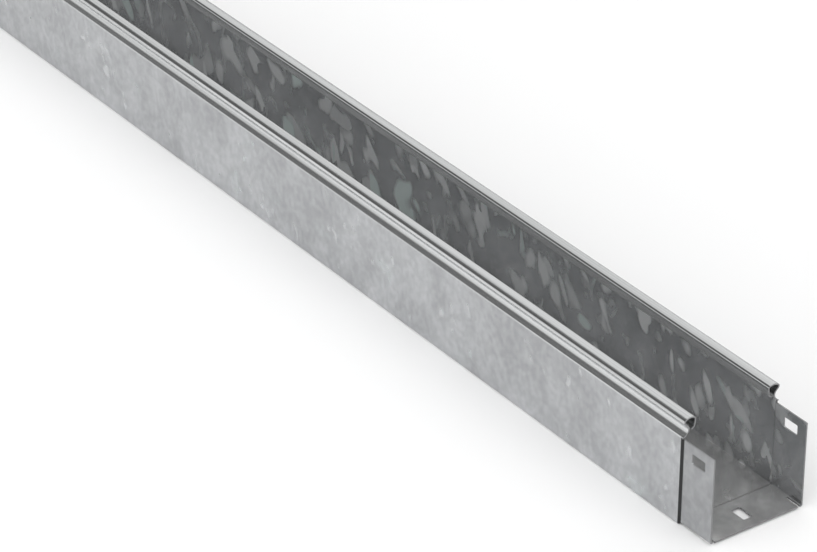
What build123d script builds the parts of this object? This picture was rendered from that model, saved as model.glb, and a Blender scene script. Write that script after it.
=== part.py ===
"""Cable tray: one length of light, unperforated tray, roll-formed from galvanised steel strip.

The section is a square channel, open at the top. Each side wall steps in to a neck and then
curls over into a hollow bead, which stiffens the edge and holds a clip-on cover. At one end the
rims are cut away and the channel is pressed inwards on three sides to form a tongue, which
slides into the plain end of the next length. Each of the tongue's three sides has a slot for a
bolt, and a short slit beside each bottom bend lets it give. The plain end has slots to match.

Millimetres. +X runs along the tray towards the tongue, +Z is up, and the origin is on the
underside, midway along the length and the width.
"""

import os

from build123d import *

# Section, measured over the outside of the sheet
length = 3000.0
width = 60.0
height = 60.8
sheet = 0.8
corner_bend = 0.4  # inside radius of the two bottom bends

# Curled rim. The corners are those of its outer face before they are rounded. Depths run inwards
# from the wall's outer face, rises run up from the top of the flat wall, and drops run down from
# the top of the rim. Each bend is the radius on the inside of that bend.
rim_height = 10.7
knee_bend = 0.6  # where the wall leans in to the neck
neck_depth = 4.4
neck_rise = 3.7
neck_bend = 3.0
shoulder_depth = -0.75
shoulder_drop = 1.65
shoulder_bend = 0.8
crown_depth = 3.75
crown_sharpness = 0.25  # how far the crown's corner would stand above its rounded top
crown_bend = 3.7
brow_depth = 7.75
brow_drop = 0.7
brow_bend = 0.8
heel_depth = 7.25
heel_rise = 4.65
heel_bend = 0.5
lip_clearance = 0.2  # between the free edge of the curl and the corner of the neck, on its inside
lip_rise = 3.2

# Tongue
tongue_length = 22.4
tongue_step = 1.0  # how far the tongue stands inside the section
step_run = 1.5  # length along the tray of the slope that makes the step
step_stages = 6
pinch_bend = 0.1  # inside radius of the bottom bends at the foot of the step
pinch_run = 4.0  # from there to where they are round again
rim_slit = 1.1  # slit that parts the tongue's sides from the rims
give_slit_length = 9.2
give_slit_width = 1.4
give_slit_depth = 3.25  # centre of the slit, inwards from the section's outer face

# Slots for the coupling bolts, the same on the tongue and at the plain end
slot_length = 10.0
slot_width = 5.8
slot_corner = 0.8
slot_setback = 11.1  # centre of a slot, from the shoulder that the next length butts on
slot_drop = 7.5  # centre of a side slot, below the tongue's top edge

# Worked out from the above
half_width = width / 2
wall_top = height - rim_height
tongue_top = wall_top - rim_slit
tongue_end = length / 2
plain_end = -length / 2
body_end = tongue_end - tongue_length
step_start = body_end - step_run
slot_height = tongue_top - slot_drop
slot_places = (body_end + slot_setback, plain_end + slot_setback)
give_slit_side = half_width - give_slit_depth
lip_depth = neck_depth + sheet + lip_clearance


def section_corner(depth, rise):
    """A corner of the rim, from its depth inside the wall's outer face and its rise above the wall."""
    return (half_width - depth, wall_top + rise)


def trough(x, inwards, inset, bend):
    """A filled section of the tongue at x, this far inside its outer face and inset from the body's."""
    depth = inset + inwards
    top = tongue_top + inwards
    with BuildSketch(Plane.YZ.offset(x)) as filled:
        with Locations((0, depth)):
            Rectangle(width - 2 * depth, top - depth, align=(Align.CENTER, Align.MIN))
        fillet(filled.vertices().group_by(Axis.Y)[0], bend + sheet - inwards)
    return filled.sketch


def troughs(inwards):
    """The tongue's sections, from the start of its step to its end, this far inside its outer face."""
    sections = []
    for stage in range(step_stages + 1):
        share = stage / step_stages
        eased = share * share * (3 - 2 * share)
        bend = corner_bend + eased * (pinch_bend - corner_bend)
        sections.append(trough(step_start + share * step_run, inwards, eased * tongue_step, bend))
    for x in (body_end + pinch_run, tongue_end):
        sections.append(trough(x, inwards, tongue_step, corner_bend))
    return sections


# Corners of the outer face from the knee to the heel, each with its radius on that face
rim_corners = [
    (section_corner(0, 0), knee_bend + sheet),
    (section_corner(neck_depth, neck_rise), neck_bend),
    (section_corner(shoulder_depth, rim_height - shoulder_drop), shoulder_bend + sheet),
    (section_corner(crown_depth, rim_height + crown_sharpness), crown_bend + sheet),
    (section_corner(brow_depth, rim_height - brow_drop), brow_bend + sheet),
    (section_corner(heel_depth, heel_rise), heel_bend + sheet),
]

outer_troughs = troughs(0)
inner_troughs = troughs(sheet)

with BuildPart() as tongue:
    loft(outer_troughs, ruled=True)
    loft(inner_troughs, ruled=True, mode=Mode.SUBTRACT)

# Strip bent to shape: the outer face of half the section, thickened inwards and mirrored
with BuildPart() as tray:
    with BuildSketch(Plane.YZ.offset(plain_end)):
        with BuildLine():
            FilletPolyline(
                (0, 0),
                (half_width, 0),
                *[corner for corner, _ in rim_corners],
                section_corner(lip_depth, lip_rise),
                radius=[corner_bend + sheet] + [radius for _, radius in rim_corners],
            )
            offset(amount=sheet, side=Side.RIGHT)
        make_face()
        mirror(about=Plane.YZ)
    extrude(amount=body_end - plain_end)

    # Below the rims, the channel stops where the step starts, and the tongue takes over
    with BuildSketch(Plane.YZ.offset(step_start)):
        with Locations((0, wall_top / 2)):
            Rectangle(width, wall_top)
    extrude(amount=step_run, mode=Mode.SUBTRACT)
    add(tongue.part)

    # Slits beside the bottom bends
    with BuildSketch(Plane.XY):
        with Locations((tongue_end, give_slit_side), (tongue_end, -give_slit_side)):
            Rectangle(2 * give_slit_length, give_slit_width)
    extrude(amount=tongue_step + sheet, mode=Mode.SUBTRACT)

    # Bolt slots through both walls, and through the floor
    with BuildSketch(Plane.XZ):
        with Locations(*[(x, slot_height) for x in slot_places]):
            RectangleRounded(slot_length, slot_width, slot_corner)
    extrude(amount=width, both=True, mode=Mode.SUBTRACT)
    with BuildSketch(Plane.XY):
        with Locations(*[(x, 0) for x in slot_places]):
            RectangleRounded(slot_length, slot_width, slot_corner)
    extrude(amount=tongue_step + 2 * sheet, mode=Mode.SUBTRACT)

tray.part.label = "cable_tray"

os.makedirs("parts", exist_ok=True)
export_step(tray.part, "parts/cable_tray.step")

box = tray.part.bounding_box()
print("solids", len(tray.part.solids()), "volume", round(tray.part.volume), "box", box.min, box.max)
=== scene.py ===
"""Looks of the cable tray: galvanised steel sheet on a pale studio floor."""

import math

import bmesh
import bpy
from mathutils import Matrix, Vector


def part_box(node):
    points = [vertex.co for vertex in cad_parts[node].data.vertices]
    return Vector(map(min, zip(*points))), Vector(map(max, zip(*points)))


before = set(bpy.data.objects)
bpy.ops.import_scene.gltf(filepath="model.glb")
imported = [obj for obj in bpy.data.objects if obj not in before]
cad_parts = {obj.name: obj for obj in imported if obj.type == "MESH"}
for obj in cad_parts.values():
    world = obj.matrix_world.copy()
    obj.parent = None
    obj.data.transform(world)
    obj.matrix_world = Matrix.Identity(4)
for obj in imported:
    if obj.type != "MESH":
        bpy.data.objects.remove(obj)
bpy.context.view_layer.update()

bl_info = {
    "name": "Cable tray",
    "version": (1, 0, 0),
    "blender": (4, 5, 0),
    "location": "3D View > Sidebar > Cable tray",
    "description": "Dresses a length of galvanised cable tray and sets up its stage",
    "category": "Object",
}

TRAY_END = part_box("cable_tray")[1][0]

# Places that set the tray's zones apart, in metres: along it, up from its underside, and out from
# its middle line
BODY_END = TRAY_END - 0.0224
STEP_START = BODY_END - 0.0015
STEP_CREASE = STEP_START - 0.0007
WALL_TOP = 0.0501
TONGUE_TOP = 0.0490
FLOOR_HEIGHT = 0.003
FLOOR_EDGE_HEIGHT = 0.0026
FLOOR_HALF_WIDTH = 0.0276
WALL_HALF_WIDTH = 0.0281
SHOULDER_HEIGHT = 0.0594
SHOULDER_WIDTHS = (0.028, 0.0295)
BROW_HEIGHT = 0.0598
BROW_WIDTHS = (0.0226, 0.0236)
CORNER_HEIGHT = 0.022
FOOT_HEIGHT = 0.045

ZONES = ("Rim", "BendShade", "Inside", "Floor", "CornerShade", "FootLight", "Tongue", "Lining", "Cut", "Step")

# Sorts of crystal: turn in degrees, shift, size, stretch, share of the cells, raggedness
CRYSTALS = (
    ((0, 28, 0), (0.25, 0.32, 0.11), 0.86, 1.3, 0.72, 1.6),
    ((18, 42, 22), (0.37, 0.11, 0.05), 0.55, 2.4, 0.36, 1.6),
    ((-12, 12, -18), (0.71, 0.23, 0.19), 0.36, 3.0, 0.18, 1.6),
    ((8, 20, 30), (0.13, 0.57, 0.41), 0.25, 1.6, 0.12, 1.4),
)
GREENISH_FROM = 0.86
FLECK_STRENGTH = 0.33
THREAD_STRENGTH = 0.5


def add_node(tree, kind, at, **values):
    """Adds a node to a tree, sets its properties, and returns it."""
    node = tree.nodes.new(kind)
    node.location = at
    for name, value in values.items():
        setattr(node, name, value)
    return node


def feed(tree, socket, value):
    """Links a socket to another, or sets it to a number, vector or colour."""
    if value is None:
        return
    if isinstance(value, bpy.types.NodeSocket):
        tree.links.new(value, socket)
    elif isinstance(value, (int, float)):
        socket.default_value = value
    else:
        socket.default_value = tuple(value) + (1.0,) * (len(socket.default_value) - len(value))


def math_node(tree, operation, at, first, second=None, third=None):
    """A Math node whose inputs are sockets or numbers; returns its output."""
    node = add_node(tree, "ShaderNodeMath", at, operation=operation)
    for socket, value in zip(node.inputs, (first, second, third)):
        feed(tree, socket, value)
    return node.outputs[0]


def product(tree, at, first, *others):
    """Several values multiplied together."""
    for step, other in enumerate(others):
        first = math_node(tree, "MULTIPLY", (at[0] + 160 * step, at[1]), first, other)
    return first


def ramp(tree, at, value, low, high, to_low=0.0, to_high=1.0):
    """Eases a value from one number, at low, to another, at high."""
    node = add_node(tree, "ShaderNodeMapRange", at, interpolation_type="SMOOTHSTEP")
    for name, number in (
        ("Value", value), ("From Min", low), ("From Max", high), ("To Min", to_low), ("To Max", to_high),
    ):
        feed(tree, node.inputs[name], number)
    return node.outputs["Result"]


def by_mask(tree, at, mask, without, within):
    """One number where a mask is 0, and another where it is 1."""
    return ramp(tree, at, mask, 0.0, 1.0, without, within)


def above(tree, at, value, limit):
    """1 where a value is over a limit, and else 0."""
    return math_node(tree, "GREATER_THAN", at, value, limit)


def below(tree, at, value, limit):
    """1 where a value is under a limit, and else 0."""
    return math_node(tree, "LESS_THAN", at, value, limit)


def between(tree, at, value, low, high, soft):
    """1 where a value lies between two numbers, and else 0; it eases this far on either side of each."""
    rise = ramp(tree, at, value, low - soft, low + soft)
    fall = ramp(tree, (at[0], at[1] - 260), value, high - soft, high + soft, 1.0, 0.0)
    return math_node(tree, "MULTIPLY", (at[0] + 160, at[1]), rise, fall)


def mix_colours(tree, at, factor, first, second, blend_type="MIX"):
    """A colour Mix node; its colours and factor are sockets or values."""
    node = add_node(tree, "ShaderNodeMix", at, data_type="RGBA", blend_type=blend_type)
    for number, value in ((0, factor), (6, first), (7, second)):
        feed(tree, node.inputs[number], value)
    return node.outputs[2]


def mapped(tree, at, vector, turn=(0, 0, 0), scale=(1, 1, 1), shift=(0, 0, 0)):
    """A vector turned, scaled and shifted by a Mapping node."""
    node = add_node(tree, "ShaderNodeMapping", at)
    feed(tree, node.inputs["Vector"], vector)
    node.inputs["Rotation"].default_value = [math.radians(angle) for angle in turn]
    node.inputs["Scale"].default_value = scale
    node.inputs["Location"].default_value = shift
    return node.outputs["Vector"]


def noise(tree, at, vector, scale, detail=2.0, roughness=0.5):
    """A Noise Texture node; returns its value."""
    node = add_node(tree, "ShaderNodeTexNoise", at, noise_dimensions="3D")
    feed(tree, node.inputs["Vector"], vector)
    node.inputs["Scale"].default_value = scale
    node.inputs["Detail"].default_value = detail
    node.inputs["Roughness"].default_value = roughness
    return node.outputs["Fac"]


def new_group(name, inputs, outputs):
    """A shader node group with the named sockets; returns its tree, input node and output node."""
    tree = bpy.data.node_groups.new(name, "ShaderNodeTree")
    for label, kind, default in inputs:
        socket = tree.interface.new_socket(label, in_out="INPUT", socket_type=kind)
        if default is not None:
            socket.default_value = default
    for label, kind in outputs:
        tree.interface.new_socket(label, in_out="OUTPUT", socket_type=kind)
    return tree, add_node(tree, "NodeGroupInput", (-1200, 0)), add_node(tree, "NodeGroupOutput", (1200, 0))


def place_group(tree, group, at, **values):
    """Puts a node group in a tree, with its inputs set or linked."""
    node = add_node(tree, "ShaderNodeGroup", at, node_tree=group)
    for name, value in values.items():
        feed(tree, node.inputs[name], value)
    return node


def stage_material(name, colour, roughness):
    """A plain material for the floor."""
    material = bpy.data.materials.new(name)
    material.use_nodes = True
    shader = material.node_tree.nodes["Principled BSDF"]
    shader.inputs["Base Color"].default_value = (*colour, 1.0)
    shader.inputs["Roughness"].default_value = roughness
    return material


class CableTraySettings(bpy.types.PropertyGroup):
    """Colours and sizes of the tray's finish."""

    zinc_colour: bpy.props.FloatVectorProperty(
        name="Zinc colour", description="Colour of the plain zinc coat", subtype="COLOR",
        size=3, min=0, max=1, default=(0.426, 0.433, 0.443),
    )
    # The rims' colour is lighter than the zinc's: partly the rolls' burnish, partly a painted sheen
    rim_colour_and_sheen: bpy.props.FloatVectorProperty(
        name="Rim colour", description="Colour of the rims, burnished by the rolls", subtype="COLOR",
        size=3, min=0, max=1, default=(0.60, 0.61, 0.612),
    )
    flake_colour: bpy.props.FloatVectorProperty(
        name="Flake colour", description="Colour of the coat's lighter crystals", subtype="COLOR",
        size=3, min=0, max=1, default=(0.82, 0.83, 0.835),
    )
    tarnish_colour: bpy.props.FloatVectorProperty(
        name="Tarnish colour", description="Colour that some of the crystals have turned", subtype="COLOR",
        size=3, min=0, max=1, default=(0.72, 0.80, 0.785),
    )
    floor_tint: bpy.props.FloatVectorProperty(
        name="Floor tint", description="Colour that the floor's zinc is toned with", subtype="COLOR",
        size=3, min=0, max=1, default=(1.0, 0.985, 0.955),
    )
    cut_colour: bpy.props.FloatVectorProperty(
        name="Cut colour", description="Colour of the bare steel at the cut edges", subtype="COLOR",
        size=3, min=0, max=1, default=(0.27, 0.27, 0.275),
    )
    # The step's near-black colour is painted shade
    step_shade_colour: bpy.props.FloatVectorProperty(
        name="Step colour", description="Colour of the slope of the tongue's step", subtype="COLOR",
        size=3, min=0, max=1, default=(0.012, 0.012, 0.013),
    )
    flake_size: bpy.props.FloatProperty(
        name="Flake size", description="Width that the crystals' sizes are shares of", subtype="DISTANCE",
        unit="LENGTH", default=0.022,
    )


class StageSettings(bpy.types.PropertyGroup):
    """Where the camera stands, and how the stage is lit."""

    floor_colour: bpy.props.FloatVectorProperty(
        name="Floor colour", description="Colour of the studio floor", subtype="COLOR",
        size=3, min=0, max=1, default=(0.91, 0.91, 0.91),
    )
    key_strength: bpy.props.FloatProperty(
        name="Key light", description="Strength of the light behind the tray", default=0.96, min=0,
    )
    front_strength: bpy.props.FloatProperty(
        name="Front light", description="Strength of the light in front of the tray", default=3.38, min=0,
    )
    wall_glow: bpy.props.FloatProperty(
        name="Front wall", description="How much brighter the foot of the front wall is", default=0.75, min=0,
    )
    room_glow: bpy.props.FloatProperty(
        name="Room", description="Brightness of the other walls and the ceiling", default=0.17, min=0,
    )
    camera_place: bpy.props.FloatVectorProperty(
        name="Camera place", description="Where the camera stands", subtype="TRANSLATION", unit="LENGTH",
        size=3, default=(2.635471, -1.01322, 1.028024),
    )
    camera_azimuth: bpy.props.FloatProperty(
        name="Camera azimuth", description="Turn of the camera about the upright axis", subtype="ANGLE",
        default=math.radians(54.6145),
    )
    camera_elevation: bpy.props.FloatProperty(
        name="Camera elevation", description="How far the camera looks down", subtype="ANGLE",
        default=math.radians(30.4126),
    )
    camera_roll: bpy.props.FloatProperty(
        name="Camera roll", description="Turn of the camera about its own view", subtype="ANGLE",
        default=math.radians(0.1379),
    )
    camera_lens: bpy.props.FloatProperty(
        name="Focal length", description="Focal length on a 36 mm wide sensor", subtype="DISTANCE_CAMERA",
        default=166.311,
    )


def flakes_group():
    """Leaf-shaped crystals of a zinc coat: their mask, and a value that differs from one to the next."""
    tree, source, sink = new_group(
        "zinc_flakes",
        [
            ("Vector", "NodeSocketVector", None),
            ("Size", "NodeSocketFloat", 0.02),
            ("Stretch", "NodeSocketFloat", 1.6),
            ("Share", "NodeSocketFloat", 0.5),
            ("Ragged", "NodeSocketFloat", 0.9),
            ("Edge", "NodeSocketFloat", 0.05),
        ],
        [("Flake", "NodeSocketFloat"), ("Variety", "NodeSocketFloat")],
    )
    link = tree.links.new
    shrink = math_node(tree, "DIVIDE", (-1000, 200), 1.0, source.outputs["Size"])
    flatter = math_node(tree, "DIVIDE", (-1000, 0), shrink, source.outputs["Stretch"])
    scale = add_node(tree, "ShaderNodeCombineXYZ", (-820, 120))
    link(shrink, scale.inputs["X"])
    link(shrink, scale.inputs["Y"])
    link(flatter, scale.inputs["Z"])
    cells = add_node(tree, "ShaderNodeVectorMath", (-640, 160), operation="MULTIPLY")
    link(source.outputs["Vector"], cells.inputs[0])
    link(scale.outputs["Vector"], cells.inputs[1])
    swirl = add_node(tree, "ShaderNodeTexNoise", (-460, 320), noise_dimensions="3D")
    swirl.inputs["Scale"].default_value = 1.1
    swirl.inputs["Detail"].default_value = 0.4
    swirl.inputs["Roughness"].default_value = 0.5
    link(cells.outputs[0], swirl.inputs["Vector"])
    centred = add_node(tree, "ShaderNodeVectorMath", (-280, 320), operation="SUBTRACT")
    link(swirl.outputs["Color"], centred.inputs[0])
    centred.inputs[1].default_value = (0.5, 0.5, 0.5)
    bent = add_node(tree, "ShaderNodeVectorMath", (-100, 320), operation="SCALE")
    link(centred.outputs[0], bent.inputs[0])
    link(source.outputs["Ragged"], bent.inputs["Scale"])
    warped = add_node(tree, "ShaderNodeVectorMath", (60, 200), operation="ADD")
    link(cells.outputs[0], warped.inputs[0])
    link(bent.outputs[0], warped.inputs[1])
    voronoi = add_node(
        tree, "ShaderNodeTexVoronoi", (220, 200), voronoi_dimensions="3D", feature="F1", distance="EUCLIDEAN"
    )
    voronoi.inputs["Scale"].default_value = 1.0
    link(warped.outputs[0], voronoi.inputs["Vector"])
    split = add_node(tree, "ShaderNodeSeparateColor", (400, 320))
    link(voronoi.outputs["Color"], split.inputs["Color"])
    chosen = below(tree, (560, 380), split.outputs["Red"], source.outputs["Share"])
    reach = math_node(tree, "MULTIPLY_ADD", (560, 200), split.outputs["Green"], 0.26, 0.32)
    inside = math_node(tree, "SUBTRACT", (720, 200), reach, voronoi.outputs["Distance"])
    shape = ramp(tree, (880, 200), inside, 0.0, source.outputs["Edge"])
    link(math_node(tree, "MULTIPLY", (1040, 300), shape, chosen), sink.inputs["Flake"])
    link(split.outputs["Blue"], sink.inputs["Variety"])
    return tree


def zones_group():
    """Masks of the tray's zones.

    Rim is the curled rims, and the bends mask their two tight bends, where painted shade lines run.
    Inside is every face that looks neither outwards nor down, and Floor the floor's upper face; both
    are painted lighter as painted light. The corner and foot masks fade out upwards: the corner mask
    on the walls' inner faces, which are painted darker low down as painted shade, and the foot mask
    on their outer ones, which are painted lighter low down as painted light. Tongue and Lining are
    the tongue's outer and inner faces, the outer ones painted darker. Cut is the sheared edges, and
    Step the slope of the tongue's step, painted near black as painted shade, with a fainter painted
    shade line along its inner crease.
    """
    tree, source, sink = new_group(
        "tray_zones",
        [("Place", "NodeSocketVector", None), ("Normal", "NodeSocketVector", None)],
        [(name, "NodeSocketFloat") for name in ZONES],
    )
    place = add_node(tree, "ShaderNodeSeparateXYZ", (-1000, 200))
    facing = add_node(tree, "ShaderNodeSeparateXYZ", (-1000, -200))
    tree.links.new(source.outputs["Place"], place.inputs[0])
    tree.links.new(source.outputs["Normal"], facing.inputs[0])
    x, y, z = place.outputs
    across = math_node(tree, "ABSOLUTE", (-800, 100), y)
    facings = []
    for number, way in enumerate(facing.outputs):
        row = -100 - 160 * number
        facings.append(ramp(tree, (-600, row), math_node(tree, "ABSOLUTE", (-800, row), way), 0.8, 0.93))
    ends, sides, up = facings

    side = math_node(tree, "SIGN", (-800, 340), y)
    outwards = math_node(tree, "MULTIPLY", (-600, 340), facing.outputs["Y"], side)
    low_face = below(tree, (-400, 420), facing.outputs["Z"], -0.5)
    outside = math_node(tree, "MAXIMUM", (-200, 360), ramp(tree, (-400, 260), outwards, 0.1, 0.4), low_face)
    inside = math_node(tree, "SUBTRACT", (0, 360), 1.0, outside)
    past_step = above(tree, (-200, 600), x, BODY_END)
    floor = product(
        tree, (0, 100), ramp(tree, (-200, 100), facing.outputs["Z"], 0.6, 0.95),
        below(tree, (-200, -60), z, FLOOR_HEIGHT),
    )
    wall_edges = product(
        tree, (0, -260), up, above(tree, (-200, -260), across, WALL_HALF_WIDTH),
        above(tree, (-200, -420), z, FLOOR_EDGE_HEIGHT), below(tree, (-200, -580), z, WALL_TOP + 0.0001),
    )
    floor_edges = product(
        tree, (0, -760), sides, below(tree, (-200, -760), across, FLOOR_HALF_WIDTH),
        below(tree, (-200, -920), z, FLOOR_EDGE_HEIGHT),
    )
    edges = math_node(tree, "MAXIMUM", (540, -300), wall_edges, floor_edges)
    # Where the painted shade lines along the rims' two tight bends run
    shoulder = product(
        tree, (0, 900), between(tree, (-400, 900), across, *SHOULDER_WIDTHS, 0.0003),
        above(tree, (-200, 760), z, SHOULDER_HEIGHT),
    )
    brow = product(
        tree, (0, 1300), between(tree, (-400, 1300), across, *BROW_WIDTHS, 0.0001),
        above(tree, (-200, 1160), z, BROW_HEIGHT),
    )
    masks = {
        "Rim": ramp(tree, (-600, 500), z, WALL_TOP - 0.0007, WALL_TOP),
        "BendShade": math_node(tree, "MAXIMUM", (340, 1000), shoulder, brow),
        "Inside": inside,
        "Floor": floor,
        # Painted shade: the inner walls darker towards the bottom
        "CornerShade": product(
            tree, (0, 740), inside, ramp(tree, (-200, 740), z, 0.0, CORNER_HEIGHT, 1.0, 0.0),
            math_node(tree, "SUBTRACT", (-100, 640), 1.0, floor),
        ),
        # Painted light: the outer walls lighter towards the bottom
        "FootLight": product(tree, (0, 1600), outside, ramp(tree, (-200, 1600), z, 0.0, FOOT_HEIGHT, 1.0, 0.0)),
        "Tongue": product(tree, (0, 600), outside, past_step),
        "Lining": product(tree, (0, 480), inside, past_step),
        "Cut": math_node(tree, "MAXIMUM", (700, -300), edges, ends),
        # Painted shade on the step's slope, fainter along its inner crease
        "Step": product(
            tree, (540, -700), by_mask(tree, (340, -600), outside, 0.35, 1.0),
            above(
                tree, (340, -760), x,
                by_mask(tree, (180, -760), outside, STEP_CREASE, STEP_START + 0.00005),
            ),
            below(tree, (340, -920), x, BODY_END), below(tree, (340, -1080), z, TONGUE_TOP + 0.0003),
        ),
    }
    for name, mask in masks.items():
        tree.links.new(mask, sink.inputs[name])
    return tree


class OBJECT_OT_cable_tray(bpy.types.Operator):
    """Give the tray its galvanised finish"""

    bl_idname = "object.cable_tray"
    bl_label = "Cable tray"

    def execute(self, context):
        settings = context.scene.cable_tray
        material = bpy.data.materials.new("galvanised_sheet")
        material.use_nodes = True
        tree = material.node_tree
        shader = tree.nodes["Principled BSDF"]
        coordinates = add_node(tree, "ShaderNodeTexCoord", (-2400, 0))
        place = coordinates.outputs["Object"]
        zones = place_group(
            tree, zones_group(), (-2100, -400), Place=place, Normal=coordinates.outputs["Normal"]
        ).outputs

        # Crystals: broad ones, two sorts of slim ones, and flecks, all softer on the outside
        flakes = flakes_group()
        edge = by_mask(tree, (-1900, 0), zones["Inside"], 0.33, 0.18)
        layers = []
        varieties = []
        for number, (turn, shift, size, stretch, share, ragged) in enumerate(CRYSTALS):
            row = 500 - 260 * number
            layer = place_group(
                tree, flakes, (-1700, row), Vector=mapped(tree, (-1900, row), place, turn=turn, shift=shift),
                Size=settings.flake_size * size, Stretch=stretch, Share=share, Ragged=ragged, Edge=edge,
            ).outputs
            strength = math_node(tree, "MULTIPLY_ADD", (-1500, row), layer["Variety"], 0.5, 0.48)
            layers.append(math_node(tree, "MULTIPLY", (-1300, row), layer["Flake"], strength))
            varieties.append(layer["Variety"])
        *crystals, flecks = layers
        greenish = above(tree, (-1300, 700), varieties[0], GREENISH_FROM)

        # Thin curved threads, where the clouds in the coat are light
        clouds = noise(tree, (-1300, -500), mapped(tree, (-1500, -500), place, scale=(46, 46, 36)), 1.0, 3.0)
        curves = mapped(tree, (-1700, -1200), place, turn=(0, 20, 0), scale=(40, 40, 20))
        wave = noise(tree, (-1500, -1200), curves, 1.0, 1.0)
        flake = product(
            tree, (-1300, -1200), between(tree, (-1400, -1200), wave, 0.488, 0.512, 0.016),
            ramp(tree, (-1400, -1700), clouds, 0.5, 0.62), THREAD_STRENGTH,
        )

        # Together they are strong on the inner walls, and faint on the outside, the floor and the tongue
        for number, layer in enumerate(crystals):
            flake = math_node(tree, "MAXIMUM", (-1250 + 80 * number, 300), flake, layer)
        flake = math_node(
            tree, "MAXIMUM", (-1050, 300),
            product(tree, (-1150, 200), flake, by_mask(tree, (-1200, 100), zones["Inside"], 0.13, 1.0)),
            product(tree, (-1150, 60), flecks, FLECK_STRENGTH),
        )
        flake = product(
            tree, (-1000, 200), flake,
            by_mask(tree, (-1200, -60), zones["Rim"], 1.0, 0.0),
            by_mask(tree, (-1200, -220), zones["Floor"], 1.0, 0.12),
            by_mask(tree, (-1200, -380), zones["Tongue"], 1.0, 0.3),
            by_mask(tree, (-1200, -540), zones["Lining"], 1.0, 0.5),
        )

        # Clouds and mottle of the plain coat, painted light and shade by zone, and the fine lines that the
        # rolls leave along the rims, with painted shade lines at the rims' bends
        grain = mapped(tree, (-1500, -650), place, scale=(290, 290, 250))
        mottle = noise(tree, (-1300, -650), grain, 1.0, 2.0)
        drawn = mapped(tree, (-1500, -800), place, scale=(2.5, 1100, 1100))
        lines = noise(tree, (-1300, -800), drawn, 1.0, 1.0)
        shade = product(
            tree, (-1000, 800),
            ramp(tree, (-1100, -500), clouds, 0.3, 0.7, 0.91, 1.09),
            ramp(tree, (-1100, -650), mottle, 0.3, 0.75, 0.92, 1.09),
            # Painted light: the inner faces lighter
            by_mask(tree, (-1200, 900), zones["Inside"], 1.0, 1.22),
            by_mask(tree, (-1200, 1060), zones["Tongue"], 1.0, 0.81),
            # Painted shade: the inner walls darker towards the bottom
            by_mask(tree, (-1200, 1220), zones["CornerShade"], 1.0, 0.72),
            # Painted light: the floor's upper face lighter
            by_mask(tree, (-1200, 1380), zones["Floor"], 1.0, 1.16),
            # Painted light: the foot of the outer walls lighter
            by_mask(tree, (-1200, 1540), zones["FootLight"], 1.0, 1.08),
        )
        lines_and_bend_shade = product(
            tree, (-900, -800), ramp(tree, (-1100, -800), lines, 0.3, 0.7, 0.86, 1.08),
            # Painted shade: dark lines along the rims' two tight bends
            by_mask(tree, (-1100, -1060), zones["BendShade"], 1.0, 0.5),
        )

        zinc = mix_colours(tree, (-700, 700), 1.0, settings.zinc_colour, shade, "MULTIPLY")
        crystal = mix_colours(tree, (-700, 500), greenish, settings.flake_colour, settings.tarnish_colour)
        burnished_and_sheen = mix_colours(tree, (-700, 300), 1.0, settings.rim_colour_and_sheen, lines_and_bend_shade, "MULTIPLY")
        colour = mix_colours(tree, (-500, 600), flake, zinc, crystal)
        colour = mix_colours(tree, (-420, 560), zones["Floor"], colour, settings.floor_tint, "MULTIPLY")
        # The rims' lighter colour is partly a painted sheen
        colour = mix_colours(tree, (-340, 500), zones["Rim"], colour, burnished_and_sheen)
        colour = mix_colours(tree, (-180, 400), zones["Cut"], colour, settings.cut_colour)
        # Painted shade: the step's slope near black, fainter along its inner crease
        colour = mix_colours(tree, (-20, 300), zones["Step"], colour, settings.step_shade_colour)
        tree.links.new(colour, shader.inputs["Base Color"])

        metal = product(
            tree, (-300, 0), by_mask(tree, (-500, 0), flake, 0.95, 0.70),
            by_mask(tree, (-500, -160), zones["Floor"], 1.0, 0.83),
            by_mask(tree, (-500, -320), zones["Step"], 1.0, 0.2),
        )
        tree.links.new(metal, shader.inputs["Metallic"])
        smooth = by_mask(tree, (-700, -480), zones["Rim"], 0.27, 0.17)
        rough = math_node(
            tree, "MAXIMUM", (-300, -480), by_mask(tree, (-500, -480), flake, smooth, 0.38),
            by_mask(tree, (-500, -640), zones["Cut"], 0.0, 0.5),
        )
        tree.links.new(rough, shader.inputs["Roughness"])
        grooves = add_node(tree, "ShaderNodeBump", (-200, -700))
        grooves.inputs["Strength"].default_value = 0.25
        grooves.inputs["Distance"].default_value = 0.0001
        feed(tree, grooves.inputs["Height"], product(tree, (-400, -800), lines, zones["Rim"]))
        tree.links.new(grooves.outputs["Normal"], shader.inputs["Normal"])

        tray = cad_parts["cable_tray"]
        tray.data.materials.clear()
        tray.data.materials.append(material)
        return {"FINISHED"}


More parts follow.
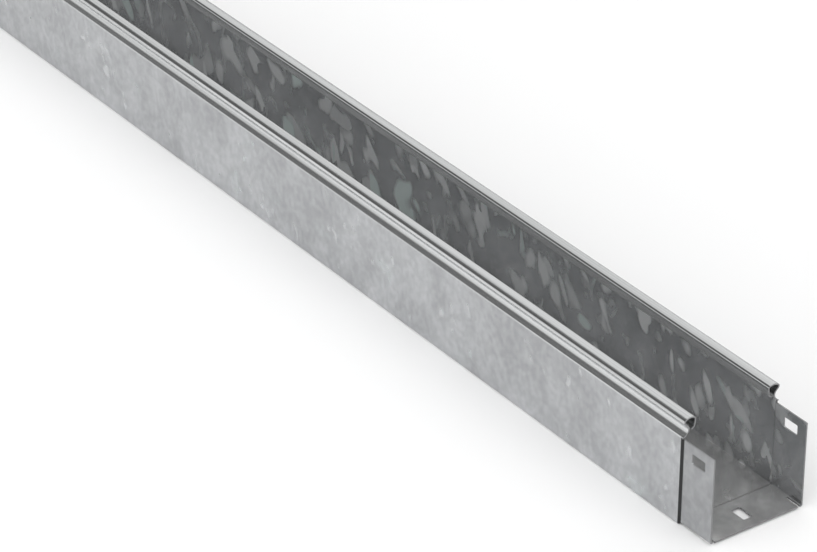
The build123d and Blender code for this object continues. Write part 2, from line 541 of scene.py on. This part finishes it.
class OBJECT_OT_cable_tray_stage(bpy.types.Operator):
    """Set up the floor, the lights and the camera"""

    bl_idname = "object.cable_tray_stage"
    bl_label = "Stage"

    def execute(self, context):
        settings = context.scene.cable_tray_stage
        scene = context.scene
        scene.view_settings.view_transform = "Standard"

        work = bmesh.new()
        bmesh.ops.create_grid(work, x_segments=1, y_segments=1, size=60.0)
        mesh = bpy.data.meshes.new("studio_floor")
        work.to_mesh(mesh)
        work.free()
        floor = bpy.data.objects.new("studio_floor", mesh)
        scene.collection.objects.link(floor)
        mesh.materials.append(stage_material("studio_floor", settings.floor_colour, 0.9))

        # The studio's front wall is lit low down; the other walls and the ceiling are dim
        world = bpy.data.worlds.new("studio_world")
        world.use_nodes = True
        scene.world = world
        tree = world.node_tree
        height = add_node(tree, "ShaderNodeSeparateXYZ", (-500, 0))
        tree.links.new(add_node(tree, "ShaderNodeTexCoord", (-700, 0)).outputs["Generated"], height.inputs[0])
        low = ramp(tree, (-300, 0), height.outputs["Z"], 0.34, 0.5, 1.0, 0.0)
        front = ramp(tree, (-300, -260), height.outputs["Y"], -0.1, -0.35)
        glow = math_node(
            tree, "MULTIPLY_ADD", (60, 0), product(tree, (-100, 0), low, front),
            settings.wall_glow, settings.room_glow,
        )
        background = tree.nodes["Background"]
        background.location = (260, 0)
        background.inputs["Color"].default_value = (1, 1, 1, 1)
        tree.links.new(glow, background.inputs["Strength"])

        # Sun lamps: the direction towards each, the width of its disc in degrees, and its strength
        for name, towards, angle, strength in (
            ("key", (-0.434, 0.591, 0.680), 76, settings.key_strength),
            ("front", (0.6, -0.5, 0.62), 130, settings.front_strength),
        ):
            data = bpy.data.lights.new(name, "SUN")
            data.energy = strength
            data.angle = math.radians(angle)
            lamp = bpy.data.objects.new(name, data)
            lamp.rotation_euler = Vector(towards).to_track_quat("Z", "Y").to_euler()
            scene.collection.objects.link(lamp)

        data = bpy.data.cameras.new("camera")
        data.sensor_width = 36.0
        data.lens = settings.camera_lens
        data.clip_start = 0.01
        data.clip_end = 50.0
        camera = bpy.data.objects.new("camera", data)
        turn = (
            Matrix.Rotation(settings.camera_azimuth, 4, "Z")
            @ Matrix.Rotation(math.pi / 2 - settings.camera_elevation, 4, "X")
            @ Matrix.Rotation(settings.camera_roll, 4, "Z")
        )
        camera.matrix_world = Matrix.Translation(settings.camera_place) @ turn
        scene.collection.objects.link(camera)
        scene.camera = camera
        return {"FINISHED"}


class VIEW3D_PT_cable_tray(bpy.types.Panel):
    """Lists the pieces in the sidebar"""

    bl_idname = "VIEW3D_PT_cable_tray"
    bl_label = "Cable tray"
    bl_space_type = "VIEW_3D"
    bl_region_type = "UI"
    bl_category = "Cable tray"

    def draw(self, context):
        layout = self.layout
        for label, group, operator in (
            ("Tray", context.scene.cable_tray, OBJECT_OT_cable_tray),
            ("Stage", context.scene.cable_tray_stage, OBJECT_OT_cable_tray_stage),
        ):
            box = layout.box()
            box.label(text=label)
            for name in group.__annotations__:
                box.prop(group, name)
            box.operator(operator.bl_idname)


CLASSES = (
    CableTraySettings,
    StageSettings,
    OBJECT_OT_cable_tray,
    OBJECT_OT_cable_tray_stage,
    VIEW3D_PT_cable_tray,
)


def register():
    for cls in CLASSES:
        bpy.utils.register_class(cls)
    bpy.types.Scene.cable_tray = bpy.props.PointerProperty(type=CableTraySettings)
    bpy.types.Scene.cable_tray_stage = bpy.props.PointerProperty(type=StageSettings)


def unregister():
    del bpy.types.Scene.cable_tray_stage
    del bpy.types.Scene.cable_tray
    for cls in reversed(CLASSES):
        bpy.utils.unregister_class(cls)


def main():
    register()
    bpy.ops.object.cable_tray()
    bpy.ops.object.cable_tray_stage()


if __name__ == "__main__":
    main()
